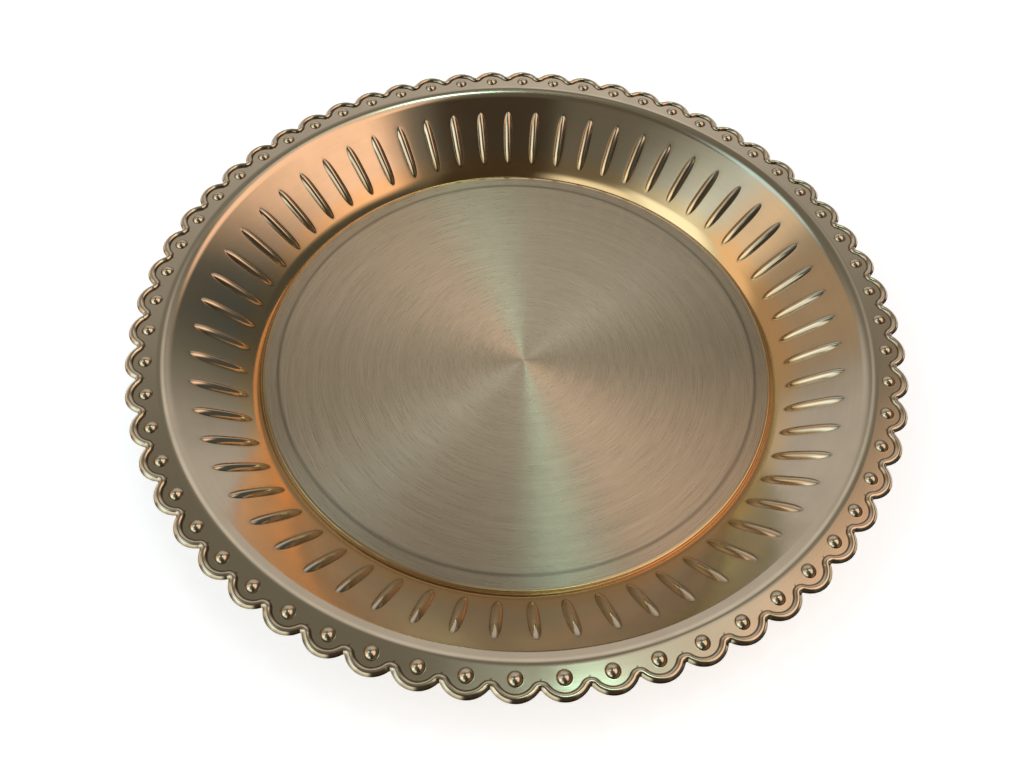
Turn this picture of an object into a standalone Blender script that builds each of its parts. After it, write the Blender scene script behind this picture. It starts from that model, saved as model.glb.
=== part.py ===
"""A round serving tray pressed from one sheet of champagne-gold metal.

The sheet is modelled in its formed zones, from the middle outwards: the flat floor panel, the foot ring that
the tray stands on, the conical wall with its raised flutes, the flange with its domed bosses, and the
scalloped edge with its bead and turned-down lip. Neighbouring zones take the points of their seam from the
same functions, so that they meet face to face as the one sheet does. Every pattern repeats once per scallop.
"""

import math

import bmesh
import bpy

# Driving dimensions in metres, and slopes
SHEET = 0.0007
RIM_RADIUS = 0.150
FLOOR_DEPTH = 0.0272

SCALLOPS = 60
SCALLOP_DEPTH = 0.0038
VALLEY_RADIUS = 0.00045

BEAD_WIDTH = 0.0029
BEAD_HEIGHT = 0.0010
LIP_ANGLE = math.radians(42)

BOSS_DIAMETER = 0.0048
BOSS_HEIGHT = 0.0014
BOSS_MARGIN = 0.0020
FLANGE_MARGIN = 0.0012

SHOULDER_RADIUS = 0.0085
WALL_ANGLE = math.radians(42.2)

FLUTE_LENGTH = 0.0241
FLUTE_WIDTH = 0.0042
FLUTE_HEIGHT = 0.0016
FLUTE_MARGIN = 0.0014

FOOT_ROLL = 0.020
FOOT_ANGLE = math.radians(58)
FOOT_FLAT = 0.00035
FOOT_STEP = 0.0008
STEP_RUN = 0.00045
FLOOR_LAND = 0.0010

# Form of the raised features, as shares of their own sizes
FLUTE_CROWN = 0.22
FLUTE_RIDGE = 0.40
FLUTE_SIDE = 0.58
FLUTE_TIP = 0.25
DOME_RING = 0.6
CROWN_INNER = 0.42
CROWN_OUTER = 0.65
CROWN_FALL = 0.82
HOLLOW_MIDDLE = 0.5

# Facets of the patterns
BOSS_SIDES = 6
TIP_SPANS = 4
SHOULDER_SPANS = 2
ROLL_SPANS = 2

# Finish: linear base colour, metallic and roughness
GOLD_POLISHED = ((0.80, 0.64, 0.43, 1.0), 1.0, 0.16)
GOLD_BRUSHED = ((0.74, 0.62, 0.45, 1.0), 1.0, 0.34)

MERGE_DISTANCE = 1e-7
SHARP_ANGLE = math.radians(35)

# Heights above the table
GROOVE_HEIGHT = SHEET
FLOOR_HEIGHT = GROOVE_HEIGHT + FOOT_STEP
FLANGE_HEIGHT = FLOOR_HEIGHT + FLOOR_DEPTH

# Radii from the rim inwards
PITCH = 2 * math.pi / SCALLOPS
CREASE_TIP = RIM_RADIUS - BEAD_WIDTH
CREASE_VALLEY = CREASE_TIP - SCALLOP_DEPTH
BOSS_RADIUS = BOSS_DIAMETER / 2
BOSS_CIRCLE = CREASE_TIP - BOSS_MARGIN - BOSS_RADIUS
FLANGE_INNER = BOSS_CIRCLE - BOSS_RADIUS - FLANGE_MARGIN
SHOULDER_INNER = FLANGE_INNER - SHOULDER_RADIUS * math.sin(WALL_ANGLE)
SHOULDER_HEIGHT = FLANGE_HEIGHT - SHOULDER_RADIUS * (1 - math.cos(WALL_ANGLE))

# The straight wall runs from the roll of its foot to the shoulder
WALL_FOOT_HEIGHT = GROOVE_HEIGHT + FOOT_ROLL * (math.cos(WALL_ANGLE) - math.cos(FOOT_ANGLE))
WALL_INNER = SHOULDER_INNER - (SHOULDER_HEIGHT - WALL_FOOT_HEIGHT) / math.tan(WALL_ANGLE)
WALL_RUN = (SHOULDER_HEIGHT - WALL_FOOT_HEIGHT) / math.sin(WALL_ANGLE)
FLUTE_MIDDLE = FLUTE_MARGIN + FLUTE_LENGTH / 2

# The foot and the floor inside it
GROOVE_OUTER = WALL_INNER - FOOT_ROLL * (math.sin(FOOT_ANGLE) - math.sin(WALL_ANGLE))
STEP_OUTER = GROOVE_OUTER - FOOT_FLAT
FLOOR_RADIUS = STEP_OUTER - STEP_RUN
PANEL_RADIUS = FLOOR_RADIUS - FLOOR_LAND


def at(radius, turn, height):
    """The point at a radius and height, turned about the axis by a number of scallop pitches."""
    angle = turn * PITCH
    return (radius * math.cos(angle), radius * math.sin(angle), height)


def on_wall(run, turn, rise):
    """The point a run up the wall's slope, raised from its upper face along the normal."""
    radius = WALL_INNER + run * math.cos(WALL_ANGLE) - rise * math.sin(WALL_ANGLE)
    height = WALL_FOOT_HEIGHT + run * math.sin(WALL_ANGLE) + rise * math.cos(WALL_ANGLE)
    return at(radius, turn, height)


def on_shoulder(tilt, turn, rise):
    """The point of the shoulder's arc where the sheet is tilted this far, raised along the normal."""
    reach = SHOULDER_RADIUS + rise
    radius = FLANGE_INNER - reach * math.sin(tilt)
    height = FLANGE_HEIGHT - SHOULDER_RADIUS + reach * math.cos(tilt)
    return at(radius, turn, height)


def on_roll(tilt, turn, rise):
    """The point of the foot's arc, which goes on from the wall's slope to the foot's, as on the shoulder."""
    reach = FOOT_ROLL + rise
    radius = GROOVE_OUTER + FOOT_ROLL * math.sin(FOOT_ANGLE) - reach * math.sin(tilt)
    height = GROOVE_HEIGHT - FOOT_ROLL * math.cos(FOOT_ANGLE) + reach * math.cos(tilt)
    return at(radius, turn, height)


def ring(surface, place, level):
    """The closed loop of one point per tip at a place on a surface, which is one of the functions above."""
    return [surface(place, turn, level) for turn in range(SCALLOPS)]


def scallop_arc():
    """Radius of the arc of a scallop's tip and half the angle that it spans.

    The tip arc touches the small arc of the valley beside it from outside, so the distance between the two
    centres is the sum of their radii. Its centre is on the tip's own radius, one arc radius inside the rim.
    """
    valley_centre = RIM_RADIUS - SCALLOP_DEPTH + VALLEY_RADIUS
    across = valley_centre * math.sin(PITCH / 2)
    along = valley_centre * math.cos(PITCH / 2)
    squares = RIM_RADIUS**2 + valley_centre**2 - 2 * RIM_RADIUS * along - VALLEY_RADIUS**2
    radius = squares / (2 * (RIM_RADIUS - along + VALLEY_RADIUS))
    return radius, math.atan2(across, along - (RIM_RADIUS - radius))


def crease_frames(turn):
    """Points (x, y) of the crease round one scallop's tip, then its valley, each with its outward direction.

    The crease runs one bead width inside the rim's outline, so both have the same directions.
    """
    radius, half_span = scallop_arc()
    centre = at(RIM_RADIUS - radius, turn, 0)
    reach = radius - BEAD_WIDTH
    frames = []
    for step in range(TIP_SPANS + 1):
        angle = turn * PITCH + half_span * (2 * step / TIP_SPANS - 1)
        outward = (math.cos(angle), math.sin(angle))
        frames.append(((centre[0] + reach * outward[0], centre[1] + reach * outward[1]), outward))
    valley = turn + 0.5
    frames.append((at(CREASE_VALLEY, valley, 0)[:2], at(1, valley, 0)[:2]))
    return frames


def points(loop):
    """The points of a loop of (angle, point) pairs."""
    return [point for _, point in loop]


def joined(loop, other):
    """The four-sided faces between two closed loops of equal length."""
    pairs = list(zip(loop, other))
    return [(a, c, d, b) for (a, b), (c, d) in zip(pairs, pairs[1:] + pairs[:1])]


def zipped(outer, inner):
    """Triangles between two loops round one middle, each of (angle, point) pairs in rising order."""
    faces = []
    i = j = 0
    while i + j < len(outer) + len(inner):
        here = (outer[i - 1][1], inner[j - 1][1])
        if j == len(inner) or (i < len(outer) and outer[i][0] <= inner[j][0]):
            faces.append((*here, outer[i][1]))
            i += 1
        else:
            faces.append((*here, inner[j][1]))
            j += 1
    return faces


def floor_faces():
    """A flat disc, one sheet thick."""
    upper = ring(at, PANEL_RADIUS, FLOOR_HEIGHT)
    lower = ring(at, PANEL_RADIUS, FLOOR_HEIGHT - SHEET)
    return [upper, lower, *joined(upper, lower)]


def foot_faces():
    """The floor's land, the step down from it, the groove that rests on the table, and the roll, turned."""
    step_mitre = SHEET * math.tan(math.atan2(FOOT_STEP, STEP_RUN) / 2)
    foot_mitre = SHEET * math.tan(FOOT_ANGLE / 2)
    profile = [
        (PANEL_RADIUS, FLOOR_HEIGHT),
        (FLOOR_RADIUS, FLOOR_HEIGHT),
        (STEP_OUTER, GROOVE_HEIGHT),
        (GROOVE_OUTER, GROOVE_HEIGHT),
    ]
    underside = [
        (GROOVE_OUTER + foot_mitre, GROOVE_HEIGHT - SHEET),
        (STEP_OUTER - step_mitre, GROOVE_HEIGHT - SHEET),
        (FLOOR_RADIUS - step_mitre, FLOOR_HEIGHT - SHEET),
        (PANEL_RADIUS, FLOOR_HEIGHT - SHEET),
    ]
    spans = [span / ROLL_SPANS for span in range(1, ROLL_SPANS)]
    tilts = [FOOT_ANGLE + share * (WALL_ANGLE - FOOT_ANGLE) for share in spans]
    loops = [ring(at, radius, height) for radius, height in profile]
    loops += [ring(on_roll, tilt, 0) for tilt in tilts]
    loops += [ring(on_wall, 0, 0), ring(on_wall, 0, -SHEET)]
    loops += [ring(on_roll, tilt, -SHEET) for tilt in reversed(tilts)]
    loops += [ring(at, radius, height) for radius, height in underside]
    return [face for a, b in zip(loops, loops[1:] + loops[:1]) for face in joined(a, b)]


def flute_loop(turn, corners, rise):
    """A loop on the wall half way between two tips, from the corners (across, along) of its outer right part.

    The corners are mirrored to the other three parts. The angles are taken as if the flute were square.
    """
    loop = []
    for side, end in ((1, 1), (-1, 1), (-1, -1), (1, -1)):
        for across, along in corners:
            run = FLUTE_MIDDLE + end * along
            radius = WALL_INNER + run * math.cos(WALL_ANGLE)
            spot = on_wall(run, turn + 0.5 + side * across / (radius * PITCH), rise)
            loop.append((math.atan2(end * along / FLUTE_LENGTH, side * across / FLUTE_WIDTH), spot))
    return sorted(loop)


def wall_border(turn, rise):
    """The corners of one flute's stretch of wall, from one tip to the next, with the angles of a square."""
    places = [(side, level) for side in (0, 1) for level in (0, 1)]
    return sorted((math.atan2(y - 0.5, x - 0.5), on_wall(y * WALL_RUN, turn + x, rise)) for x, y in places)


def wall_faces():
    """The cone of the wall with one raised flute, hollow below, between each two tips."""
    width, length = FLUTE_WIDTH / 2, FLUTE_LENGTH / 2
    foot_corners = [(width, FLUTE_SIDE * length), (FLUTE_TIP * width, length)]
    crown_corners = [(FLUTE_CROWN * width, FLUTE_RIDGE * length)]
    faces = []
    for turn in range(SCALLOPS):
        for face in (0, -SHEET):
            foot = flute_loop(turn, foot_corners, face)
            crown = flute_loop(turn, crown_corners, face + FLUTE_HEIGHT)
            faces += zipped(wall_border(turn, face), foot) + zipped(foot, crown)
            faces.append(points(crown))
    for run in (0, WALL_RUN):
        faces += joined(ring(on_wall, run, 0), ring(on_wall, run, -SHEET))
    return faces


def shoulder_faces(face):
    """One side of the rounded shoulder: loops with a point per tip, and the last with one per valley."""
    loops = [ring(on_wall, WALL_RUN, face)]
    for span in range(1, SHOULDER_SPANS):
        loops.append(ring(on_shoulder, WALL_ANGLE * (1 - span / SHOULDER_SPANS), face))
    faces = [quad for a, b in zip(loops, loops[1:]) for quad in joined(a, b)]
    tips = loops[-1]
    valleys = [at(FLANGE_INNER, turn + 0.5, FLANGE_HEIGHT + face) for turn in range(SCALLOPS)]
    for turn in range(SCALLOPS):
        after = (turn + 1) % SCALLOPS
        faces.append((tips[turn], tips[after], valleys[turn]))
        faces.append((valleys[turn], tips[after], valleys[after]))
    return faces


def dome_height(radius):
    """Height of a boss, a cap of a sphere, at a distance from its middle."""
    sphere = (BOSS_RADIUS**2 + BOSS_HEIGHT**2) / (2 * BOSS_HEIGHT)
    return math.sqrt(sphere**2 - radius**2) - (sphere - BOSS_HEIGHT)


def dome_loop(turn, radius, level):
    """The corners of a boss at a distance from its middle."""
    middle = at(BOSS_CIRCLE, turn, 0)
    loop = []
    for side in range(BOSS_SIDES):
        angle = math.pi * ((2 * side + 1) / BOSS_SIDES - 1)
        heading = angle + turn * PITCH
        x = middle[0] + radius * math.cos(heading)
        y = middle[1] + radius * math.sin(heading)
        loop.append((angle, (x, y, level + dome_height(radius))))
    return loop


def flange_border(turn, level):
    """The outline of one scallop's stretch of flange, from one valley to the next."""
    crease = crease_frames(turn - 1)[-1:] + crease_frames(turn)
    border = [(*spot, level) for spot, _ in crease]
    border += [at(FLANGE_INNER, turn + side, level) for side in (-0.5, 0.5)]
    middle = at(BOSS_CIRCLE, turn, level)
    out = at(1, turn, 0)
    loop = []
    for spot in border:
        x, y = spot[0] - middle[0], spot[1] - middle[1]
        loop.append((math.atan2(y * out[0] - x * out[1], x * out[0] + y * out[1]), spot))
    return sorted(loop)


def flange_faces():
    """The shoulder, the flat flange out to the crease, and one domed boss behind each tip.

    The hollow below a boss is a plain cone.
    """
    faces = []
    for face in (0, -SHEET):
        level = FLANGE_HEIGHT + face
        faces += shoulder_faces(face)
        for turn in range(SCALLOPS):
            foot = dome_loop(turn, BOSS_RADIUS, level)
            faces += zipped(flange_border(turn, level), foot)
            crown = points(foot)
            if face == 0:
                crown = points(dome_loop(turn, DOME_RING * BOSS_RADIUS, level))
                faces += joined(points(foot), crown)
            apex = at(BOSS_CIRCLE, turn, level + BOSS_HEIGHT)
            faces += [(a, b, apex) for a, b in zip(crown, crown[1:] + crown[:1])]
    faces += joined(ring(on_wall, WALL_RUN, 0), ring(on_wall, WALL_RUN, -SHEET))
    crease = [spot for turn in range(SCALLOPS) for spot, _ in crease_frames(turn)]
    upper = [(*spot, FLANGE_HEIGHT) for spot in crease]
    lower = [(*spot, FLANGE_HEIGHT - SHEET) for spot in crease]
    return faces + joined(upper, lower)


def edge_faces():
    """The bead and its turned-down lip: one closed profile (outwards, up) carried along the crease."""
    lip = (CROWN_OUTER * BEAD_WIDTH, CROWN_FALL * BEAD_HEIGHT)
    lip_end = lip[1] - (BEAD_WIDTH - lip[0]) * math.tan(LIP_ANGLE)
    profile = [
        (0, 0),
        (CROWN_INNER * BEAD_WIDTH, BEAD_HEIGHT),
        lip,
        (BEAD_WIDTH, lip_end),
        (BEAD_WIDTH - SHEET * math.sin(LIP_ANGLE), lip_end - SHEET * math.cos(LIP_ANGLE)),
        (HOLLOW_MIDDLE * BEAD_WIDTH, BEAD_HEIGHT - SHEET),
        (0, -SHEET),
    ]
    frames = [frame for turn in range(SCALLOPS) for frame in crease_frames(turn)]
    loops = []
    for out, up in profile:
        loops.append([(p[0] + out * n[0], p[1] + out * n[1], FLANGE_HEIGHT + up) for p, n in frames])
    return [face for a, b in zip(loops, loops[1:] + loops[:1]) for face in joined(a, b)]


def metal(name, finish):
    """A Principled material of one finish."""
    colour, metallic, roughness = finish
    made = bpy.data.materials.new(name)
    made.use_nodes = True
    shader = made.node_tree.nodes["Principled BSDF"]
    shader.inputs["Base Color"].default_value = colour
    shader.inputs["Metallic"].default_value = metallic
    shader.inputs["Roughness"].default_value = roughness
    return made


def solid(name, faces, finish, parent):
    """A closed object from faces given by their points, with equal points made one."""
    bm = bmesh.new()
    for face in faces:
        bm.faces.new([bm.verts.new(point) for point in face])
    bmesh.ops.remove_doubles(bm, verts=bm.verts, dist=MERGE_DISTANCE)
    bmesh.ops.recalc_face_normals(bm, faces=bm.faces)
    mesh = bpy.data.meshes.new(name)
    bm.to_mesh(mesh)
    bm.free()
    mesh.shade_smooth()
    mesh.set_sharp_from_angle(angle=SHARP_ANGLE)
    mesh.materials.append(metal(name, finish))
    made = bpy.data.objects.new(name, mesh)
    made.parent = parent
    bpy.context.scene.collection.objects.link(made)


def main():
    for old in list(bpy.data.objects):
        bpy.data.objects.remove(old)
    tray = bpy.data.objects.new("serving_tray", None)
    bpy.context.scene.collection.objects.link(tray)
    solid("floor_panel", floor_faces(), GOLD_BRUSHED, tray)
    solid("foot_ring", foot_faces(), GOLD_POLISHED, tray)
    solid("fluted_wall", wall_faces(), GOLD_POLISHED, tray)
    solid("rim_flange", flange_faces(), GOLD_POLISHED, tray)
    solid("scalloped_edge", edge_faces(), GOLD_POLISHED, tray)


main()
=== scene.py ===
# %% [markdown]
# # A pressed, champagne-gold serving tray
#
# The tray is one thin disc of steel. A press draws it into a dish, raises flutes on its wall and bosses
# on its flange, and turns down its scalloped edge. Its floor is then brushed in circles and the rest is
# polished. This lesson dresses the CAD model: each CAD zone gets a fine surface in its place, worked
# out with numpy.

import math

import bpy
import numpy as np
from mathutils import Matrix, Vector


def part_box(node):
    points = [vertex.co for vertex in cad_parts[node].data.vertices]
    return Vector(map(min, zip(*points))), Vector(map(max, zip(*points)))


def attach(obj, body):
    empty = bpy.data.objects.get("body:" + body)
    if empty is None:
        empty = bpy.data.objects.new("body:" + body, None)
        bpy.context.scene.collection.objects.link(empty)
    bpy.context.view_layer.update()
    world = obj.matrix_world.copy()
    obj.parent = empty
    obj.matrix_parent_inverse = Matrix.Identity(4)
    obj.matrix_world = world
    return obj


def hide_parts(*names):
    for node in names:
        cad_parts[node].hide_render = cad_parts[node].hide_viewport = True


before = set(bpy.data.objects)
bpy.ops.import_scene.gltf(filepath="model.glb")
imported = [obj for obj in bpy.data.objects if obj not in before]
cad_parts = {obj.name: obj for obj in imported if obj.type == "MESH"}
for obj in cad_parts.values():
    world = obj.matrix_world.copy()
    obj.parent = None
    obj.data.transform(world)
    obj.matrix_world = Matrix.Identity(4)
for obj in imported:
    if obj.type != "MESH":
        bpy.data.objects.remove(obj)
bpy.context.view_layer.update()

# %% [markdown]
# ## Sizes
#
# The main sizes are read from the boxes of the CAD nodes, so the fine surfaces follow the solids. They
# could be typed in again, but two copies of a size soon differ. Tips of the scallops and bosses are at
# whole turns of one pitch, and the flutes are half way between them. All lengths are in metres.

# %% Read the sizes from the frame
SCALLOPS = 60
PITCH = 2 * math.pi / SCALLOPS
BOSS_RADIUS = 0.0024
BOSS_HEIGHT = 0.0014

FLOOR_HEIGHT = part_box("floor_panel")[1][2]
SHEET = FLOOR_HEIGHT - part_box("floor_panel")[0][2]
PANEL_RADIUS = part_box("floor_panel")[1][0]
GROOVE_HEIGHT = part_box("foot_ring")[0][2] + SHEET
FLANGE_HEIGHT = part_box("rim_flange")[1][2] - BOSS_HEIGHT
CREASE_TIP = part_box("rim_flange")[1][0]
RIM_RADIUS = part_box("scalloped_edge")[1][0]
BEAD_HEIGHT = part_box("scalloped_edge")[1][2] - FLANGE_HEIGHT
BEAD_WIDTH = RIM_RADIUS - CREASE_TIP
print(f"Rim {RIM_RADIUS * 2000:.1f} mm across, with a bead {BEAD_WIDTH * 1000:.2f} mm wide")
print(f"Sheet {SHEET * 1000:.2f} mm thick")

# %% [markdown]
# ## From a surface to a piece of sheet
#
# Every zone is given by its upper face alone, as grids of points with the true normal at each point. A
# Solidify modifier could thicken it, but would work out normals of its own from the faces. Here the
# lower face is the upper one moved back along the true normals, and a strip closes the edge between
# them. Shading by the true normals also lets neighbouring zones meet without a visible seam. A third
# grid of each zone, from zero to one, tells how much painted shade a point takes, and the finish turns
# such places brown.

# %% Turn points about the axis
def polar(radius, angle, height):
    """Points turned about the tray's axis: the radius times cos and sin of the angle, and the height."""
    radius, angle, height = np.broadcast_arrays(radius, angle, height)
    return np.stack([radius * np.cos(angle), radius * np.sin(angle), height], axis=-1)


def leaning(tilt, angle):
    """Normals that lean towards the axis by a tilt: -sin of it along the radius and cos of it upwards."""
    return polar(-np.sin(tilt), angle, np.cos(tilt))


# %% Weld grids into one open sheet
# Points that round to the same multiples of this length become one.
WELD = 2e-8


def welded(patches):
    """Points, normals, painted shade and triangles of grids whose equal points are made one.

    Each four-sided cell gives two triangles. Those that have shrunk to a line, as round a pole, are
    dropped, and those that face against their normals are turned over.
    """
    cells = []
    start = 0
    for spots, _, _ in patches:
        index = start + np.arange(spots[..., 0].size).reshape(spots.shape[:-1])
        corners = [index[..., :-1, :-1], index[..., 1:, :-1], index[..., 1:, 1:], index[..., :-1, 1:]]
        cells.append(np.stack(corners, axis=-1).reshape(-1, 4))
        start += index.size
    cells = np.concatenate(cells)
    points = np.concatenate([spots.reshape(-1, 3) for spots, _, _ in patches])
    normals = np.concatenate([ways.reshape(-1, 3) for _, ways, _ in patches])
    shade_grids = [np.broadcast_to(shade_grid, spots.shape[:-1]) for spots, _, shade_grid in patches]
    painted_shade = np.concatenate([shade_grid.ravel() for shade_grid in shade_grids])

    keys = np.round(points / WELD).astype(np.int64)
    _, first, same = np.unique(keys, axis=0, return_index=True, return_inverse=True)
    points, normals, painted_shade = points[first], normals[first], painted_shade[first]
    triangles = same.ravel()[cells[:, [0, 1, 2, 0, 2, 3]]].reshape(-1, 3)
    a, b, c = triangles.T
    triangles = triangles[(a != b) & (b != c) & (c != a)]
    a, b, c = (points[column] for column in triangles.T)
    against = np.sum(np.cross(b - a, c - a) * normals[triangles].sum(axis=1), axis=1) < 0
    triangles[against] = triangles[against][:, ::-1]
    return points, normals, painted_shade, triangles


# %% Give the sheet its thickness
def pressed(name, patches, node):
    """A closed piece of sheet whose upper face is the patches, standing for a CAD node.

    The lower face is points - sheet * normals. The strip runs along the edges that only one triangle
    uses.
    """
    points, normals, painted_shade, upper = welded(patches)
    count = len(points)
    lower = upper[:, ::-1] + count
    edges = upper[:, [0, 1, 1, 2, 2, 0]].reshape(-1, 2)
    _, first, uses = np.unique(np.sort(edges, axis=1), axis=0, return_index=True, return_counts=True)
    a, b = edges[first[uses == 1]].T
    strip = np.stack([b, a, a + count, b, a + count, b + count], axis=1).reshape(-1, 3)
    faces = np.concatenate([upper, lower, strip])

    mesh = bpy.data.meshes.new(name)
    mesh.from_pydata(np.concatenate([points, points - SHEET * normals]), [], faces)
    smooth = np.arange(len(faces)) < len(upper) + len(lower)
    mesh.polygons.foreach_set("use_smooth", smooth)
    corner_normals = np.concatenate([normals, -normals])[faces] * smooth[:, None, None]
    mesh.normals_split_custom_set(corner_normals.reshape(-1, 3))
    # The painted shade goes on both faces as a point attribute.
    mesh.attributes.new("painted_shade", "FLOAT", "POINT").data.foreach_set("value", np.tile(painted_shade, 2))

    piece = bpy.data.objects.new(name, mesh)
    bpy.context.scene.collection.objects.link(piece)
    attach(piece, "root")
    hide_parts(node)
    print(f"{name}: {len(faces)} triangles")
    return piece


# %% [markdown]
# ## The floor
#
# The floor is a plain flat disc. A filled circle would do, but a grid of rings and spokes is made as
# the other zones are, and its spokes meet those of the next zone. Its look comes from the brushing,
# which the material gives it later.

# %% Make the floor
FLOOR_RINGS = 24
SPOKES_PER_SCALLOP = 10
FULL_TURN = np.linspace(0, 2 * math.pi, SCALLOPS * SPOKES_PER_SCALLOP + 1)

rings = np.linspace(0, PANEL_RADIUS, FLOOR_RINGS)[:, None]
floor_patch = (polar(rings, FULL_TURN, FLOOR_HEIGHT), leaning(0 * rings, FULL_TURN), 0 * rings)
floor = pressed("brushed_floor", [floor_patch], "floor_panel")

# %% [markdown]
# ## The wall's line and its foot
#
# In section the sheet goes from the floor over a small rounded step into a groove, which the tray
# stands on. From there the foot of the wall rises steeply and eases into the wall's straight slope. The
# section could be drawn as a curve and spun. Here it is a chain of bends: along each one the tilt of
# the sheet changes evenly, and a formula gives the points and their normals exactly.

# %% Work out the section of the wall
WALL_ANGLE = math.radians(42.2)
SHOULDER_RADIUS = 0.0085
FLANGE_MARGIN = 0.0012
BOSS_MARGIN = 0.0020
FOOT_ROLL = 0.020
FOOT_ANGLE = math.radians(58)

BOSS_CIRCLE = CREASE_TIP - BOSS_MARGIN - BOSS_RADIUS
FLANGE_INNER = BOSS_CIRCLE - BOSS_RADIUS - FLANGE_MARGIN
SHOULDER_INNER = FLANGE_INNER - SHOULDER_RADIUS * math.sin(WALL_ANGLE)
SHOULDER_HEIGHT = FLANGE_HEIGHT - SHOULDER_RADIUS * (1 - math.cos(WALL_ANGLE))
WALL_FOOT_HEIGHT = GROOVE_HEIGHT + FOOT_ROLL * (math.cos(WALL_ANGLE) - math.cos(FOOT_ANGLE))
WALL_RUN = (SHOULDER_HEIGHT - WALL_FOOT_HEIGHT) / math.sin(WALL_ANGLE)
WALL_INNER = SHOULDER_INNER - WALL_RUN * math.cos(WALL_ANGLE)
print(f"Wall from radius {WALL_INNER * 1000:.1f} to {SHOULDER_INNER * 1000:.1f} mm")


# %% Follow a bend of the section
def bend(start, radius, tilts):
    """Section points (outwards, up) along a bend of the sheet.

    They move from the start by the radius times the change in sin and in -cos of the tilt. A hollow
    bend has a positive radius and a crowned one a negative radius.
    """
    out = start[0] + radius * (np.sin(tilts) - np.sin(tilts[0]))
    up = start[1] + radius * (np.cos(tilts[0]) - np.cos(tilts))
    return np.stack([out, up], axis=-1)


# %% Draw the section of the foot
EDGE_ROUND = 0.0006
GROOVE_ROUND = 0.0003
STEP_ANGLE = math.radians(60)
BEND_STEPS = 9

# The groove's round touches its level bottom and the roll, and meets the roll at this tilt.
steep = math.acos((FOOT_ROLL * math.cos(FOOT_ANGLE) + GROOVE_ROUND) / (FOOT_ROLL + GROOVE_ROUND))
roll_start = WALL_INNER - FOOT_ROLL * (math.sin(steep) - math.sin(WALL_ANGLE))
groove_radius = roll_start - GROOVE_ROUND * math.sin(steep)
rounds = (EDGE_ROUND + GROOVE_ROUND) * (1 - math.cos(STEP_ANGLE))
slope_drop = FLOOR_HEIGHT - GROOVE_HEIGHT - rounds
step_run = (EDGE_ROUND + GROOVE_ROUND) * math.sin(STEP_ANGLE) + slope_drop / math.tan(STEP_ANGLE)

over_edge = np.linspace(0, -STEP_ANGLE, BEND_STEPS)
through_groove = np.linspace(-STEP_ANGLE, steep, 2 * BEND_STEPS)
up_roll = np.linspace(steep, WALL_ANGLE, BEND_STEPS)
step_edge = bend((groove_radius - step_run, FLOOR_HEIGHT), -EDGE_ROUND, over_edge)
groove_start = step_edge[-1] + slope_drop * np.array([1 / math.tan(STEP_ANGLE), -1])
groove = bend(groove_start, GROOVE_ROUND, through_groove)
foot_roll = bend(groove[-1], -FOOT_ROLL, up_roll)
print(f"Groove {(FLOOR_HEIGHT - GROOVE_HEIGHT) * 1000:.2f} mm below the floor")

# %% Make the foot
GROOVE_PAINTED_SHADE = 0.25

section = np.concatenate([[[PANEL_RADIUS, FLOOR_HEIGHT]], step_edge, groove, foot_roll[1:]])
tilts = np.concatenate([[0], over_edge, through_groove, up_roll[1:]])
out, up = section[:, :1], section[:, 1:]
# Painted shade darkens and browns the groove.
foot_painted_shade = GROOVE_PAINTED_SHADE * ((out > groove[0, 0]) & (out < groove[-1, 0]))
foot_patch = (polar(out, FULL_TURN, up), leaning(tilts[:, None], FULL_TURN), foot_painted_shade)
foot = pressed("foot_groove", [foot_patch], "foot_ring")

# %% [markdown]
# ## The fluted wall
#
# The press raises each flute from the sheet as a long ridge with a round back, like a boat's hull
# turned over. Its sides run nearly parallel and close in at both ends, and its crest rises and falls as
# a flat arch. Flutes could be sculpted or displaced, but a formula for their height makes all sixty
# alike. The wall is laid out flat for it, with the place across the flute and the place along it as the
# two parameters.

# %% The form of a flute
FLUTE_LENGTH = 0.0241
FLUTE_WIDTH = 0.0042
FLUTE_HEIGHT = 0.0016
FLUTE_MARGIN = 0.0014
FLUTE_ARCH = 3.0
FOOT_FILLET = 0.00008

FLUTE_MIDDLE = FLUTE_MARGIN + FLUTE_LENGTH / 2


def rounded_foot(rise, crown):
    """A rise that runs below the sheet, with its foot rounded into it and its crown kept.

    Half the sum of the rise and of sqrt(rise^2 + fillet^2) follows the rise above the sheet and dies
    away below.
    """
    return crown * (rise + np.hypot(rise, FOOT_FILLET)) / (crown + math.hypot(crown, FOOT_FILLET))


def flute_rise(x, y):
    """Height of a flute at a place (across, along).

    With both places as shares of the half sizes, the height is the crown times 1 - across^2 - along^3.
    So each cut across the flute is a parabola, and its foot is where the sum of the two powers is one.
    """
    across = 2 * x / FLUTE_WIDTH
    along = np.abs(2 * y / FLUTE_LENGTH)
    return rounded_foot(FLUTE_HEIGHT * (1 - across**2 - along**FLUTE_ARCH), FLUTE_HEIGHT)


print(f"Flutes {FLUTE_LENGTH * 1000:.1f} mm long, {flute_rise(0, 0) * 1000:.2f} mm high")

# %% [markdown]
# An even grid would need very small cells to follow the sharp foot of a flute. So round each flute the
# grid runs in rings: they start in its middle, follow its contour lines down to its foot, and end on
# the border of the flute's own stretch of wall. The foot then always lies along the grid. On one ring
# the sum across^2 + along^3 is the square of the ring's share.

# %% Lay out the grid of one flute
FLUTE_RINGS = np.array([0, 0.13, 0.27, 0.4, 0.53, 0.65, 0.75, 0.84, 0.91, 0.96, 1.0, 1.03, 1.07, 1.12])
LAND_RINGS = np.array([0.3, 0.65, 1.0])
FLUTE_STEPS = 48

heading = np.linspace(0, 2 * math.pi, FLUTE_STEPS + 1)
eighths = math.pi * np.array([0, 0.25, 0.75, 1, 1.25, 1.75, 2])
border_x = np.interp(heading, eighths, [1, 1, -1, -1, -1, 1, 1])
border_y = np.interp(heading, eighths, [0, 1, 1, 0, -1, -1, 0])
border_y *= np.where(border_y > 0, WALL_RUN - FLUTE_MIDDLE, FLUTE_MIDDLE)

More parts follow.
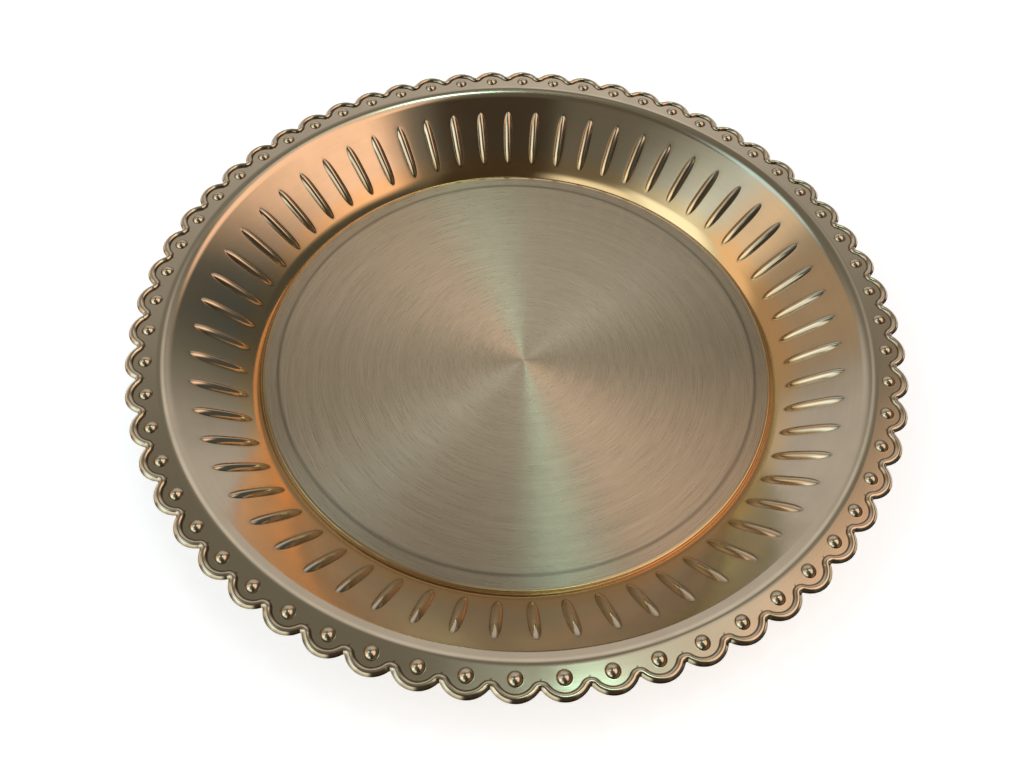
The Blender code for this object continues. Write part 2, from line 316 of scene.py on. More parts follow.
rings = FLUTE_RINGS[:, None]
ring_x = rings * np.cos(heading) * FLUTE_WIDTH / 2
reach = np.abs(rings * np.sin(heading)) ** (2 / FLUTE_ARCH)
ring_y = np.sign(np.sin(heading)) * reach * FLUTE_LENGTH / 2
ring_turn = ring_x / (WALL_INNER + (FLUTE_MIDDLE + ring_y) * math.cos(WALL_ANGLE))
share = LAND_RINGS[:, None]
along = np.concatenate([ring_y, ring_y[-1] + share * (border_y - ring_y[-1])])
turn = np.concatenate([ring_turn, ring_turn[-1] + share * (border_x * PITCH / 2 - ring_turn[-1])])
print(f"Grid of {along.shape[0]} rings round each flute")

# %% Raise the flutes
SLOPE_STEP = 1e-6
FLUTE_PAINTED_SHADE = 0.5
FLUTE_LINE = 0.08

radius = WALL_INNER + (FLUTE_MIDDLE + along) * math.cos(WALL_ANGLE)
across = turn * radius
rise = flute_rise(across, along)
change_x = flute_rise(across + SLOPE_STEP, along) - flute_rise(across - SLOPE_STEP, along)
change_y = flute_rise(across, along + SLOPE_STEP) - flute_rise(across, along - SLOPE_STEP)
slope_x = change_x / (2 * SLOPE_STEP)
slope_y = change_y / (2 * SLOPE_STEP)

angle = (np.arange(SCALLOPS) + 0.5)[:, None, None] * PITCH + turn
height = WALL_FOOT_HEIGHT + (FLUTE_MIDDLE + along) * math.sin(WALL_ANGLE)
plain = leaning(WALL_ANGLE, angle)
round_way = polar(1, angle + math.pi / 2, 0)
up_way = polar(math.cos(WALL_ANGLE), angle, math.sin(WALL_ANGLE))
wall_points = polar(radius, angle, height) + rise[..., None] * plain
wall_normals = plain - slope_x[..., None] * round_way - slope_y[..., None] * up_way
wall_normals /= np.linalg.norm(wall_normals, axis=-1, keepdims=True)
# The painted shade fades with the distance from the foot, as exp(-(distance / line)^2) in shares of the
# size.
ring_painted_shade = FLUTE_PAINTED_SHADE * np.exp(-(((FLUTE_RINGS - 1) / FLUTE_LINE) ** 2))
wall_painted_shade = np.concatenate([ring_painted_shade, 0 * LAND_RINGS])[:, None]
wall = pressed("fluted_cone", [(wall_points, wall_normals, wall_painted_shade)], "fluted_wall")

# %% [markdown]
# ## The scalloped crease
#
# The flange ends in a crease that runs round the scallops, one bead width inside the rim. The rim's
# outline is two arcs in turn: a large one round each tip and a small one in each valley. They touch
# where their centres are as far apart as the sum of their radii, which gives the radius of the tip. A
# wave would be shorter to write, but its valleys would be as round as its tips. The crease is parallel
# to the outline, so one set of outward directions serves the crease and everything outside it.

# %% Follow the crease round one scallop
SCALLOP_DEPTH = 0.0038
VALLEY_RADIUS = 0.00045
TIP_STEPS = 22
VALLEY_STEPS = 6

valley_centre = RIM_RADIUS - SCALLOP_DEPTH + VALLEY_RADIUS
valley_along = valley_centre * math.cos(PITCH / 2)
gap = RIM_RADIUS**2 + valley_centre**2 - 2 * RIM_RADIUS * valley_along - VALLEY_RADIUS**2
tip_radius = gap / (2 * (RIM_RADIUS - valley_along + VALLEY_RADIUS))
tip_centre = RIM_RADIUS - tip_radius
half_span = math.atan2(valley_centre * math.sin(PITCH / 2), valley_along - tip_centre)

tip_ways = np.linspace(-half_span, half_span, TIP_STEPS + 1)
valley_ways = np.linspace(half_span, PITCH / 2, VALLEY_STEPS + 1)[1:]
tip_crease = polar(tip_centre, 0, 0) + polar(tip_radius - BEAD_WIDTH, tip_ways, 0)
after_crease = polar(valley_centre, PITCH / 2, 0) - polar(VALLEY_RADIUS + BEAD_WIDTH, valley_ways, 0)
before_crease = after_crease[::-1] * [1, -1, 1]
crease = np.concatenate([before_crease, tip_crease, after_crease])
crease_ways = np.concatenate([-valley_ways[::-1], tip_ways, valley_ways])
print(f"Scallop arcs of {tip_radius * 1000:.2f} mm, crease of {len(crease)} points in each scallop")

# %% [markdown]
# ## The flange
#
# The flange is flat, with a boss behind each tip, and rounds over a shoulder into the wall. The bosses
# could be balls set on a flat ring, but pressed ones are one sheet with it and hollow below. So round
# each boss the grid runs in rings again, from its middle over its foot to the border of its own stretch
# of flange.

# %% The form of a boss
CAP_LIMIT = 0.97


def boss_rise(distance):
    """Height of a boss at a distance from its middle: a cap of a sphere with a rounded foot.

    The cap is sqrt(sphere^2 - distance^2) less the depth of the sphere's middle below the sheet. The
    distance is held inside the sphere, where the root is real.
    """
    sphere = (BOSS_RADIUS**2 + BOSS_HEIGHT**2) / (2 * BOSS_HEIGHT)
    cap = np.sqrt(sphere**2 - np.minimum(distance, CAP_LIMIT * sphere) ** 2) - (sphere - BOSS_HEIGHT)
    return rounded_foot(cap, BOSS_HEIGHT)


print(f"Bosses {BOSS_RADIUS * 2000:.1f} mm across, {boss_rise(0) * 1000:.2f} mm high")

# %% Lay out one stretch of flange
BOSS_RINGS = np.array([0, 0.2, 0.4, 0.58, 0.72, 0.83, 0.91, 0.97, 1.02, 1.08, 1.16])
FLANGE_RINGS = np.array([0.3, 0.85, 1.0])
VALLEY_SIDE_STEPS = 5
INNER_STEPS = 10

valley_side = np.linspace(crease[-1, 0] / math.cos(PITCH / 2), FLANGE_INNER, VALLEY_SIDE_STEPS + 1)
left_side = polar(valley_side[1:], PITCH / 2, 0)
inner_edge = polar(FLANGE_INNER, np.linspace(PITCH / 2, -PITCH / 2, INNER_STEPS + 1)[1:], 0)
right_side = polar(valley_side[-2::-1], -PITCH / 2, 0)
border = np.concatenate([crease, left_side, inner_edge, right_side])
middle = polar(BOSS_CIRCLE, 0, 0)
spokes = (border - middle) / np.linalg.norm(border - middle, axis=-1, keepdims=True)
boss = middle + BOSS_RINGS[:, None, None] * BOSS_RADIUS * spokes
land = boss[-1] + FLANGE_RINGS[:, None, None] * (border - boss[-1])
stretch = np.concatenate([boss, land])
print(f"Stretch of flange with {len(border)} points on its border")

# %% Raise the boss
BOSS_LINE = 0.06

distance = np.linalg.norm(stretch - middle, axis=-1)
nearer = np.maximum(distance - SLOPE_STEP, 0)
slope = (boss_rise(distance + SLOPE_STEP) - boss_rise(nearer)) / (2 * SLOPE_STEP)
slope[0] = 0
stretch_normals = np.stack([-slope * spokes[:, 0], -slope * spokes[:, 1], 1 + 0 * slope], axis=-1)
stretch_normals /= np.linalg.norm(stretch_normals, axis=-1, keepdims=True)
stretch[..., 2] = FLANGE_HEIGHT + boss_rise(distance)
# Painted shade round the foot of each boss, and all along the crease.
flange_painted_shade = np.exp(-(((distance / BOSS_RADIUS - 1) / BOSS_LINE) ** 2))
flange_painted_shade[-1, : len(crease)] = 1
print(f"Boss reaches {stretch[..., 2].max() * 1000:.2f} mm above the table")

# %% Repeat the stretch and round the shoulder
SHOULDER_STEPS = 12


def repeated(vectors):
    """The vectors of one scallop's stretch, turned to all the scallops.

    A turn by an angle gives x cos - y sin and x sin + y cos, and keeps the height.
    """
    angle = (np.arange(SCALLOPS) * PITCH).reshape(-1, *[1] * (vectors.ndim - 1))
    x = vectors[..., 0] * np.cos(angle) - vectors[..., 1] * np.sin(angle)
    y = vectors[..., 0] * np.sin(angle) + vectors[..., 1] * np.cos(angle)
    return np.stack([x, y, np.broadcast_to(vectors[..., 2], x.shape)], axis=-1)


shoulder_tilts = np.linspace(WALL_ANGLE, 0, SHOULDER_STEPS + 1)
shoulder = bend((SHOULDER_INNER, SHOULDER_HEIGHT), -SHOULDER_RADIUS, shoulder_tilts)
shoulder_turn = FULL_TURN - PITCH / 2
shoulder_patch = (
    polar(shoulder[:, :1], shoulder_turn, shoulder[:, 1:]),
    leaning(shoulder_tilts[:, None], shoulder_turn),
    0 * shoulder_tilts[:, None],
)
flange_patch = (repeated(stretch), repeated(stretch_normals), flange_painted_shade)
flange = pressed("boss_flange", [flange_patch, shoulder_patch], "rim_flange")

# %% [markdown]
# ## The beaded edge
#
# Outside the crease the sheet turns up sharply, rolls over in one round bead and ends in a short
# straight lip that slopes down. A bevelled curve along the rim would give a full wire, and would fold
# over in the tight valleys. Here a section of the sheet is carried along the crease. Each point moves
# outwards along the crease's own direction, so the rim follows every scallop and valley.

# %% Draw the section of the bead
BEAD_FILLET = 0.00012
BEAD_ANGLE = math.radians(75)
LIP_ANGLE = math.radians(42)
FILLET_STEPS = 5
BEAD_STEPS = 18

bead_round = BEAD_HEIGHT / (1 - math.cos(BEAD_ANGLE)) - BEAD_FILLET
into_bead = np.linspace(0, BEAD_ANGLE, FILLET_STEPS)
over_bead = np.linspace(BEAD_ANGLE, -LIP_ANGLE, BEAD_STEPS)
fillet = bend((0, FLANGE_HEIGHT), BEAD_FILLET, into_bead)
bead_roll = bend(fillet[-1], -bead_round, over_bead)
lip_run = BEAD_WIDTH - bead_roll[-1, 0]
lip = bead_roll[-1:] + lip_run * np.array([1, -math.tan(LIP_ANGLE)])
section = np.concatenate([fillet, bead_roll, lip])
tilts = np.concatenate([into_bead, over_bead, [-LIP_ANGLE]])[:, None]
print(f"Bead of {bead_round * 1000:.2f} mm radius, its lip {lip_run * 1000:.2f} mm wide")

# %% Make the bead
CREASE_WIDTH = 0.0003
LIP_PAINTED_SHADE = 0.9

ways = polar(1, crease_ways, 0)
bead_points = crease + section[:, :1, None] * ways + section[:, 1:, None] * [0, 0, 1]
bead_normals = -np.sin(tilts)[..., None] * ways + np.cos(tilts)[..., None] * [0, 0, 1]
# Painted shade along the crease, and most of all on the lip's edge.
bead_painted_shade = np.exp(-((section[:, :1] / CREASE_WIDTH) ** 2))
bead_painted_shade[-1] = LIP_PAINTED_SHADE
bead_patch = (repeated(bead_points), repeated(bead_normals), bead_painted_shade)
edge = pressed("beaded_edge", [bead_patch], "scalloped_edge")

# %% [markdown]
# ## Finishes
#
# The tray has two finishes of one champagne-gold metal. Both show marks that run in circles round the
# axis: the brushing on the floor, and faint drawing lines on the formed parts. A picture of brushed
# metal could be laid over them, but noise that is drawn out round the axis stays sharp at any size. One
# node group makes such marks for both.

# %% Helpers that add nodes
def add_node(tree, kind, **settings):
    """A new node with its settings given by name."""
    made = tree.nodes.new(kind)
    for name, value in settings.items():
        setattr(made, name, value)
    return made


def math_node(tree, operation, *values):
    """The value that a math operation gives for numbers or sockets."""
    made = add_node(tree, "ShaderNodeMath", operation=operation)
    for socket, value in zip(made.inputs, values):
        if isinstance(value, bpy.types.NodeSocket):
            tree.links.new(value, socket)
        else:
            socket.default_value = value
    return made.outputs[0]


# %% A node group of marks in circles
NOISE_DETAIL = 3.0
NOISE_ROUGHNESS = 0.65


def circle_marks():
    """Noise that changes fast along the radius and slowly round the middle, and the radius itself.

    The noise is read at the direction from the middle times the breaks, raised by the radius times the
    lines.
    """
    group = bpy.data.node_groups.new("circle_marks", "ShaderNodeTree")
    group.interface.new_socket("Place", in_out="INPUT", socket_type="NodeSocketVector")
    group.interface.new_socket("Lines per metre", in_out="INPUT", socket_type="NodeSocketFloat")
    group.interface.new_socket("Breaks per turn", in_out="INPUT", socket_type="NodeSocketFloat")
    group.interface.new_socket("Marks", in_out="OUTPUT", socket_type="NodeSocketFloat")
    group.interface.new_socket("Radius", in_out="OUTPUT", socket_type="NodeSocketFloat")
    entry = add_node(group, "NodeGroupInput")
    leave = add_node(group, "NodeGroupOutput")
    flat = add_node(group, "ShaderNodeVectorMath", operation="MULTIPLY")
    flat.inputs[1].default_value = (1, 1, 0)
    group.links.new(entry.outputs["Place"], flat.inputs[0])
    length = add_node(group, "ShaderNodeVectorMath", operation="LENGTH")
    group.links.new(flat.outputs[0], length.inputs[0])
    around = add_node(group, "ShaderNodeVectorMath", operation="NORMALIZE")
    group.links.new(flat.outputs[0], around.inputs[0])
    breaks = add_node(group, "ShaderNodeVectorMath", operation="SCALE")
    group.links.new(around.outputs[0], breaks.inputs[0])
    group.links.new(entry.outputs["Breaks per turn"], breaks.inputs["Scale"])
    lines = math_node(group, "MULTIPLY", length.outputs["Value"], entry.outputs["Lines per metre"])
    raised = add_node(group, "ShaderNodeCombineXYZ")
    group.links.new(lines, raised.inputs["Z"])
    spot = add_node(group, "ShaderNodeVectorMath", operation="ADD")
    group.links.new(breaks.outputs[0], spot.inputs[0])
    group.links.new(raised.outputs[0], spot.inputs[1])
    noise = add_node(group, "ShaderNodeTexNoise")
    noise.inputs["Scale"].default_value = 1.0
    noise.inputs["Detail"].default_value = NOISE_DETAIL
    noise.inputs["Roughness"].default_value = NOISE_ROUGHNESS
    group.links.new(spot.outputs[0], noise.inputs["Vector"])
    group.links.new(noise.outputs["Fac"], leave.inputs["Marks"])
    group.links.new(length.outputs["Value"], leave.inputs["Radius"])
    return group


CIRCLE_MARKS = circle_marks()
print("Node group:", CIRCLE_MARKS.name)

# %% Helpers that place marks
TRAY_MIDDLE = (0.0, 0.0, 0.0)


def new_finish(name):
    """A metal material, its tree and its Principled shader."""
    material = bpy.data.materials.new(name)
    material.use_nodes = True
    shader = material.node_tree.nodes["Principled BSDF"]
    shader.inputs["Metallic"].default_value = 1.0
    return material, material.node_tree, shader


def place_from(tree, middle):
    """Places on the piece, counted from a middle in metres."""
    moved = add_node(tree, "ShaderNodeMapping")
    moved.inputs["Location"].default_value = [-value for value in middle]
    tree.links.new(add_node(tree, "ShaderNodeTexCoord").outputs["Object"], moved.inputs["Vector"])
    return moved.outputs["Vector"]


def marks(tree, place, lines=1.0, breaks=1.0):
    """The marks group with its values, as its two outputs: the marks and the radius."""
    made = add_node(tree, "ShaderNodeGroup", node_tree=CIRCLE_MARKS)
    tree.links.new(place, made.inputs["Place"])
    made.inputs["Lines per metre"].default_value = lines
    made.inputs["Breaks per turn"].default_value = breaks
    return made.outputs["Marks"], made.outputs["Radius"]


# %% Helpers that shade and colour
def remap(tree, value, low, high, to_low, to_high, smooth=False):
    """The value carried from one range to another, held at the ends."""
    made = add_node(tree, "ShaderNodeMapRange", interpolation_type="SMOOTHSTEP" if smooth else "LINEAR")
    for name, number in zip(("From Min", "From Max", "To Min", "To Max"), (low, high, to_low, to_high)):
        made.inputs[name].default_value = number
    tree.links.new(value, made.inputs["Value"])
    return made.outputs["Result"]


def product(tree, shade, *others):
    """A shade multiplied by the others, one after another."""
    for other in others:
        shade = math_node(tree, "MULTIPLY", shade, other)
    return shade


def tinted(tree, colour, factor):
    """A colour whose brightness is multiplied by a value."""
    made = add_node(tree, "ShaderNodeVectorMath", operation="SCALE")
    made.inputs[0].default_value = colour
    tree.links.new(factor, made.inputs["Scale"])
    return made.outputs[0]


def covered(tree, under, colour, mask):
    """The colours under a plain colour that covers them as far as a mask says."""
    made = add_node(tree, "ShaderNodeMix", data_type="RGBA")
    tree.links.new(mask, made.inputs["Factor"])
    tree.links.new(under, made.inputs["A"])
    made.inputs["B"].default_value = (*colour, 1)
    return made.outputs["Result"]


def engrave(tree, shader, height, strength, depth):
    """Fine relief in a shader, from a height between zero and one and a depth in metres."""
    bump = add_node(tree, "ShaderNodeBump")
    bump.inputs["Strength"].default_value = strength
    bump.inputs["Distance"].default_value = depth
    tree.links.new(height, bump.inputs["Height"])
    tree.links.new(bump.outputs["Normal"], shader.inputs["Normal"])


# %% [markdown]
# ## Brushed floor
#
# A brush that turned on the floor left fine grooves in circles. Its middle missed the tray's by a few
# millimetres. The grooves scatter light across themselves, along the radius, and hardly along their
# length. Bump alone would need grooves finer than a pixel to show that. Anisotropy with a tangent that
# points along the radius gives the bright fans that meet in the brush's middle, and noise along the
# radius shows single grooves. Their broken edges spread some light evenly, so the shader is not all
# metal. The floor's colour darkens towards its edge. Painted light makes its far left side lighter and
# its near right side darker, and painted shade draws a dark ring where a shallow groove runs near the
# edge.

# %% Shade the brushed floor
CHAMPAGNE_GOLD = (0.54, 0.42, 0.27)
BRUSH_MIDDLE = (0.0027, -0.0048, 0.0)
NOISE_RANGE = (0.3, 0.7)
FINE_LINES = 2600.0
FINE_BREAKS = 5.0
FINE_SHADES = (0.86, 1.14)
BROAD_LINES = 420.0
BROAD_BREAKS = 0.8
BROAD_SHADES = (0.94, 1.06)
# Painted shade: a dark ring where a shallow groove runs near the edge, and the floor outside it a little
# darker.
FLOOR_RING = 0.0992
FLOOR_RING_WIDTH = 0.0013
PAINTED_RING_SHADE = 0.55
OUTSIDE_SHADE = 0.93
# The floor's colour darkens from the middle towards the edge.
OUTWARD_DARKENING_START = 0.02
OUTWARD_DARKENING_SHADES = (1.12, 0.84)
# Painted light: the floor's colour is lighter towards the far left and darker towards the near right.
PAINTED_LIGHT_SIDE = (-0.7, 0.7, 0.0)
PAINTED_SIDE_SHADES = (0.90, 1.13)

brushed, tree, shader = new_finish("brushed_gold")
brush_place = place_from(tree, BRUSH_MIDDLE)
fine, _ = marks(tree, brush_place, FINE_LINES, FINE_BREAKS)
broad, _ = marks(tree, brush_place, BROAD_LINES, BROAD_BREAKS)
_, tray_radius = marks(tree, place_from(tree, TRAY_MIDDLE))
off_ring = math_node(tree, "ABSOLUTE", math_node(tree, "SUBTRACT", tray_radius, FLOOR_RING))
sides = add_node(tree, "ShaderNodeVectorMath", operation="DOT_PRODUCT")
sides.inputs[1].default_value = PAINTED_LIGHT_SIDE
tree.links.new(brush_place, sides.inputs[0])
shade = product(
    tree,
    remap(tree, fine, *NOISE_RANGE, *FINE_SHADES),
    remap(tree, broad, *NOISE_RANGE, *BROAD_SHADES),
    # Painted shade of the shallow groove near the edge.
    remap(tree, off_ring, 0, FLOOR_RING_WIDTH, PAINTED_RING_SHADE, 1.0, smooth=True),
    remap(tree, tray_radius, FLOOR_RING, FLOOR_RING + FLOOR_RING_WIDTH, 1.0, OUTSIDE_SHADE),
    remap(tree, tray_radius, OUTWARD_DARKENING_START, PANEL_RADIUS, *OUTWARD_DARKENING_SHADES),
    # Painted light, lighter towards the far left.
    remap(tree, sides.outputs["Value"], -PANEL_RADIUS, PANEL_RADIUS, *PAINTED_SIDE_SHADES),
)
tree.links.new(tinted(tree, CHAMPAGNE_GOLD, shade), shader.inputs["Base Color"])
# The ring printed here is the painted shade of a shallow groove.
print(f"Worn ring {FLOOR_RING * 2000:.1f} mm across")

# %% Give the brushed floor its gloss
BRUSH_ROUGHNESS = (0.26, 0.32)
BRUSH_STRENGTH = 0.25
BRUSH_DEPTH = 0.00006
MIRROR_SHARE = 0.75

tree.links.new(remap(tree, fine, *NOISE_RANGE, *BRUSH_ROUGHNESS), shader.inputs["Roughness"])
engrave(tree, shader, fine, BRUSH_STRENGTH, BRUSH_DEPTH)
spread = add_node(tree, "ShaderNodeVectorMath", operation="MULTIPLY")
spread.inputs[1].default_value = (1, 1, 0)
tree.links.new(brush_place, spread.inputs[0])
tree.links.new(spread.outputs[0], shader.inputs["Tangent"])
shader.inputs["Metallic"].default_value = MIRROR_SHARE
shader.inputs["Anisotropic"].default_value = 1.0
floor.data.materials.append(brushed)
print("Finish:", brushed.name)

# %% [markdown]
# ## Polished gold
#
# The formed parts keep the sheet's bright surface, which mirrors the room softly. One even metal could
# stand for it, but would look new. Handling has dulled the real one a little in cloudy patches, and the
# press has left faint lines round the axis. A deeper, warmer gold at the foot of the wall is a painted
# reflection of the gold floor. Painted shade browns the groove, the creases and the edge of the lip,
# and draws a dark line round the flutes and bosses and along the bead.

# %% Make the polished finish
# Painted reflection of the gold floor: a deeper, warmer gold at the foot of the wall.
FLOOR_REFLECTION_GOLD = (0.62, 0.41, 0.20)
FLOOR_REFLECTION_WIDTH = 0.008
# The brown of the painted shade.
PAINTED_SHADE_BROWN = (0.13, 0.08, 0.04)
DRAWN_LINES = 900.0
DRAWN_BREAKS = 3.0
DRAWN_SHADES = (0.98, 1.02)
DRAWN_STRENGTH = 0.12
DRAWN_DEPTH = 0.00003
CLOUD_SCALE = 55.0
CLOUD_DETAIL = 4.0
CLOUD_RANGE = (0.35, 0.7)
CLOUD_SHADES = (1.02, 0.95)
CLOUD_ROUGHNESS = (0.10, 0.16)

polished, tree, shader = new_finish("polished_gold")
drawn, tray_radius = marks(tree, place_from(tree, TRAY_MIDDLE), DRAWN_LINES, DRAWN_BREAKS)
clouds = add_node(tree, "ShaderNodeTexNoise")
clouds.inputs["Scale"].default_value = CLOUD_SCALE
clouds.inputs["Detail"].default_value = CLOUD_DETAIL
tree.links.new(add_node(tree, "ShaderNodeTexCoord").outputs["Object"], clouds.inputs["Vector"])
cloud = remap(tree, clouds.outputs["Fac"], *CLOUD_RANGE, 0, 1, smooth=True)
tree.links.new(remap(tree, cloud, 0, 1, *CLOUD_ROUGHNESS), shader.inputs["Roughness"])
cloud_shade = remap(tree, cloud, 0, 1, *CLOUD_SHADES)
drawn_shade = remap(tree, drawn, *NOISE_RANGE, *DRAWN_SHADES)
gold = tinted(tree, CHAMPAGNE_GOLD, product(tree, cloud_shade, drawn_shade))
# Painted reflection of the gold floor, fading up the wall from its foot.
floor_reflection_at_foot = remap(tree, tray_radius, WALL_INNER, WALL_INNER + FLOOR_REFLECTION_WIDTH, 1, 0, smooth=True)
gold = covered(tree, gold, FLOOR_REFLECTION_GOLD, floor_reflection_at_foot)
# Painted shade from the mesh attribute browns the groove, the creases and the lip's edge.
painted_shade = add_node(tree, "ShaderNodeAttribute", attribute_name="painted_shade").outputs["Fac"]
gold = covered(tree, gold, PAINTED_SHADE_BROWN, painted_shade)
tree.links.new(gold, shader.inputs["Base Color"])
engrave(tree, shader, drawn, DRAWN_STRENGTH, DRAWN_DEPTH)
for piece in (foot, wall, flange, edge):
    piece.data.materials.append(polished)
print("Finish:", polished.name)

# %% [markdown]
# ## The studio
#
# Polished metal shows its surroundings more than its own colour. Lamps alone would show in it as small
# hard spots, so the studio is a grey room with soft panels on the sky, some bright and some dark: a
# cool window to the left, a warm reflector to the right, and a dark side where the camera stands. One
# node group makes a soft-edged panel from its direction and size. The camera itself sees a plain white
# backdrop behind the table.

# %% A node group of one soft panel
PANEL_SIZES = ("Middle azimuth", "Middle elevation", "Half width", "Half height", "Softness")


def soft_panel():
    """Mask of a panel on the sky: one inside its half width and half height, and zero outside.

    The difference of the azimuths is wrapped to half a turn each way. Each half size less the size of
    its difference is divided by the softness, and a smooth step makes a mask of it. The two masks are
    multiplied.
    """
    group = bpy.data.node_groups.new("soft_panel", "ShaderNodeTree")
    for name in ("Azimuth", "Elevation", *PANEL_SIZES):
        group.interface.new_socket(name, in_out="INPUT", socket_type="NodeSocketFloat")
    group.interface.new_socket("Mask", in_out="OUTPUT", socket_type="NodeSocketFloat")
    entry = add_node(group, "NodeGroupInput").outputs
    leave = add_node(group, "NodeGroupOutput")
    turned = math_node(group, "SUBTRACT", entry["Azimuth"], entry["Middle azimuth"])
    turned = math_node(group, "WRAP", turned, math.pi, -math.pi)
    raised = math_node(group, "SUBTRACT", entry["Elevation"], entry["Middle elevation"])
    masks = []
    for off, half in ((turned, entry["Half width"]), (raised, entry["Half height"])):
        inside = math_node(group, "SUBTRACT", half, math_node(group, "ABSOLUTE", off))
        inside = math_node(group, "DIVIDE", inside, entry["Softness"])
        masks.append(remap(group, inside, -1, 1, 0, 1, smooth=True))
    group.links.new(product(group, *masks), leave.inputs["Mask"])
    return group


SOFT_PANEL = soft_panel()
print("Node group:", SOFT_PANEL.name)

# %% Find the way of each ray
world = bpy.data.worlds.new("studio")
world.use_nodes = True
bpy.context.scene.world = world
sky = world.node_tree
ray = add_node(sky, "ShaderNodeSeparateXYZ")
sky.links.new(add_node(sky, "ShaderNodeTexCoord").outputs["Generated"], ray.inputs[0])
ray_azimuth = math_node(sky, "ARCTAN2", ray.outputs["Y"], ray.outputs["X"])
ray_elevation = math_node(sky, "ARCSINE", ray.outputs["Z"])


def hang_panel(under, colour, *sizes):
    """The colours under a panel with the panel over them.

    The sizes are azimuth from +X towards +Y, elevation, half width, half height and softness, in
    degrees.
    """
    panel = add_node(sky, "ShaderNodeGroup", node_tree=SOFT_PANEL)
    sky.links.new(ray_azimuth, panel.inputs["Azimuth"])
    sky.links.new(ray_elevation, panel.inputs["Elevation"])
    for name, size in zip(PANEL_SIZES, sizes):
        panel.inputs[name].default_value = math.radians(size)
    return covered(sky, under, colour, panel.outputs["Mask"])


print("Studio:", world.name)

# %% Hang the panels in the room
ROOM = (0.23, 0.24, 0.23)
FAR_WALL = (0.72, 0.76, 0.86)
FAR_DOOR = (0.98, 1.05, 1.19)
TAN_WALL = (0.57, 0.47, 0.38)
DARK_WALL = (0.10, 0.12, 0.13)
DIM_CEILING = (0.16, 0.15, 0.13)
CAMERA_SIDE = (0.075, 0.065, 0.05)
HIGH_WINDOW = (0.98, 1.51, 1.95)
WARM_FRAME = (1.29, 1.08, 0.88)
WINDOW = (1.78, 2.15, 2.39)
SIDE_WINDOW = (1.41, 1.60, 1.68)
LAMP_HALO = (0.45, 0.52, 0.55)
PALE_CORNER = (0.92, 0.98, 1.05)
CREAM_REFLECTOR = (1.84, 1.36, 1.17)
LAMP_EDGE = (1.37, 1.48, 1.56)
COOL_LAMP = (4.40, 9.00, 9.20)

room_colour = add_node(sky, "ShaderNodeRGB")
room_colour.outputs[0].default_value = (*ROOM, 1)
shown = room_colour.outputs[0]
shown = hang_panel(shown, FAR_WALL, 96, 14, 38, 31, 13)
shown = hang_panel(shown, FAR_DOOR, 84, 45, 9, 8, 6)
shown = hang_panel(shown, TAN_WALL, 150, 15, 16, 24, 7)
shown = hang_panel(shown, DARK_WALL, 356, 6, 48, 26, 9)
shown = hang_panel(shown, DIM_CEILING, 250, 80, 65, 22, 12)
shown = hang_panel(shown, CAMERA_SIDE, 282, 36, 25, 28, 6)
shown = hang_panel(shown, HIGH_WINDOW, 170, 54, 16, 11, 7)
shown = hang_panel(shown, WARM_FRAME, 175, 25, 10, 20, 6)
shown = hang_panel(shown, WINDOW, 205, 27, 18, 19, 9)
shown = hang_panel(shown, SIDE_WINDOW, 240, 24, 18, 12, 7)
shown = hang_panel(shown, LAMP_HALO, 80, 75, 18, 7, 6)
shown = hang_panel(shown, PALE_CORNER, 58, 68, 16, 8, 5)
shown = hang_panel(shown, CREAM_REFLECTOR, 4, 56, 41, 18, 9)
shown = hang_panel(shown, LAMP_EDGE, 8, 78, 18, 4, 4)
shown = hang_panel(shown, COOL_LAMP, 56, 79, 14, 4, 3)
print("Panels hung:", sum(node.type == "GROUP" for node in sky.nodes))

# %% Show the camera a white backdrop
WHITE = (1, 1, 1)

camera_ray = add_node(sky, "ShaderNodeLightPath").outputs["Is Camera Ray"]
backdrop = covered(sky, shown, WHITE, camera_ray)
sky.links.new(backdrop, sky.nodes["Background"].inputs["Color"])
print("Backdrop:", WHITE)

# %% [markdown]
# ## The table
#
# The tray stands on a plain white table. A bright lamp could make it white, but would light the tray
# too. Here the table takes the tray's soft shadow, and its own light lifts it to white for the camera
# and in the metal, without lighting the tray more.

# %% Lay the table
TABLE_HALF = 3.0
TABLE_GREY = 0.86
TABLE_ROUGHNESS = 0.9
TABLE_LIFT = 0.56

mesh = bpy.data.meshes.new("table")
corners = TABLE_HALF * np.array([[-1, -1, 0], [1, -1, 0], [1, 1, 0], [-1, 1, 0]])
mesh.from_pydata(corners, [], [[0, 1, 2, 3]])
table = bpy.data.objects.new("table", mesh)
bpy.context.scene.collection.objects.link(table)

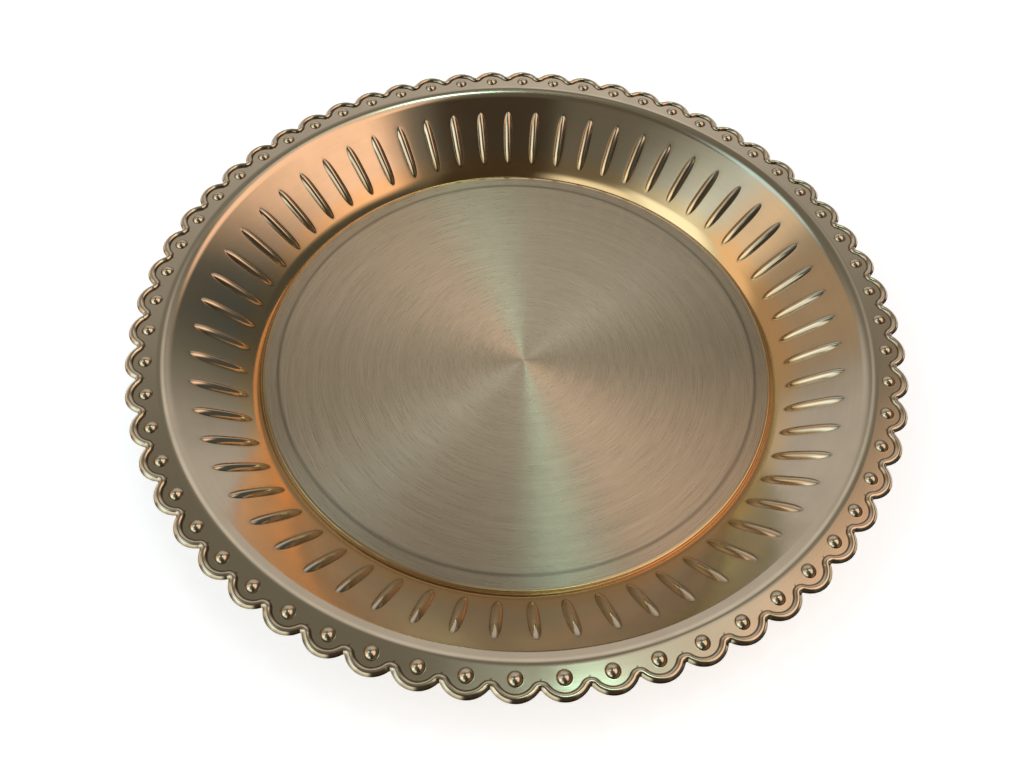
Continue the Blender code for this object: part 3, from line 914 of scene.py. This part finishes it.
white = bpy.data.materials.new("white_table")
white.use_nodes = True
tree = white.node_tree
shader = tree.nodes["Principled BSDF"]
shader.inputs["Base Color"].default_value = (TABLE_GREY, TABLE_GREY, TABLE_GREY, 1)
shader.inputs["Roughness"].default_value = TABLE_ROUGHNESS
shader.inputs["Specular IOR Level"].default_value = 0.0
shader.inputs["Emission Color"].default_value = (*WHITE, 1)
rays = add_node(tree, "ShaderNodeLightPath")
seen = math_node(tree, "MAXIMUM", rays.outputs["Is Camera Ray"], rays.outputs["Is Glossy Ray"])
seen = math_node(tree, "MAXIMUM", seen, rays.outputs["Is Transmission Ray"])
tree.links.new(math_node(tree, "MULTIPLY", seen, TABLE_LIFT), shader.inputs["Emission Strength"])
table.data.materials.append(white)
print(f"Table {TABLE_HALF * 2:.0f} m wide")

# %% [markdown]
# ## The camera
#
# The camera looks down at the tray from its near side with a wide lens, close enough for the far rim to
# look smaller than the near one. It leans a little to one side, as a camera held in the hand does. A
# constraint could aim it, but would keep it level, so its three directions are worked out here.

# %% Place the camera
CAMERA_PLACE = Vector((-0.00683, -0.21355, 0.29224))
CAMERA_AIM = Vector((-0.00211, -0.01601, 0.0))
CAMERA_LEAN = math.radians(2.65)
SENSOR_WIDTH = 36.0
LENS = 30.114
CLIP_START = 0.01

camera_data = bpy.data.cameras.new("camera")
camera_data.sensor_width = SENSOR_WIDTH
camera_data.lens = LENS
camera_data.clip_start = CLIP_START
camera = bpy.data.objects.new("camera", camera_data)
bpy.context.scene.collection.objects.link(camera)
ahead = (CAMERA_AIM - CAMERA_PLACE).normalized()
level = ahead.cross(Vector((0, 0, 1))).normalized()
right = math.cos(CAMERA_LEAN) * level + math.sin(CAMERA_LEAN) * level.cross(ahead)
turned = Matrix((right, right.cross(ahead), -ahead)).transposed()
camera.matrix_world = Matrix.Translation(CAMERA_PLACE) @ turned.to_4x4()
bpy.context.scene.camera = camera
bpy.context.scene.view_settings.view_transform = "Standard"
print(f"Camera {(CAMERA_AIM - CAMERA_PLACE).length * 1000:.0f} mm from its aim")
